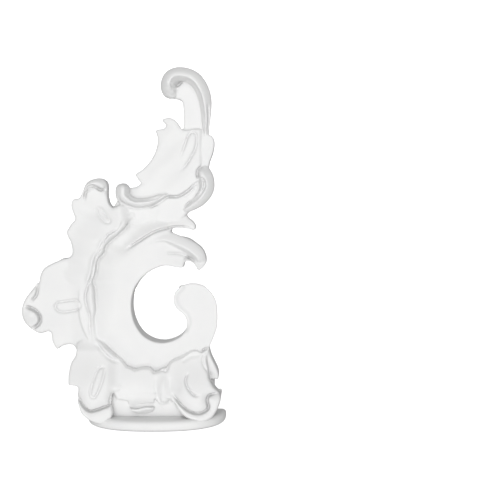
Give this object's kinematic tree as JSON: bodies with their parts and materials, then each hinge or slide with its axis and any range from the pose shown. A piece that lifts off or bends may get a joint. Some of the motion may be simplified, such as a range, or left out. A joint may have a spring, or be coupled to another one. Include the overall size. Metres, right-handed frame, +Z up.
{
  "type": "carved scroll moulding end ornament",
  "caption": "Left-hand rococo moulding end: leafy C-shaped scroll with frilled leaf border, curled stalk on top and a half-oval foot ledge, flat back.",
  "frame": {"origin": "the middle of the foot's flat underside, where the ornament stands, halfway from the flat back to the front of the foot", "axes": "+Z up along the height, +X to the viewer's right along the wall, +Y into the wall, so the carved face looks along -Y"},
  "size_m": [0.2018, 0.045, 0.3504],
  "materials": {
    "cast_white": "smooth primed white, matte, factory coated rigid foam casting"
  },
  "bodies": {
    "root": {"scroll_ornament": "cast_white"}
  },
  "joints": []
}
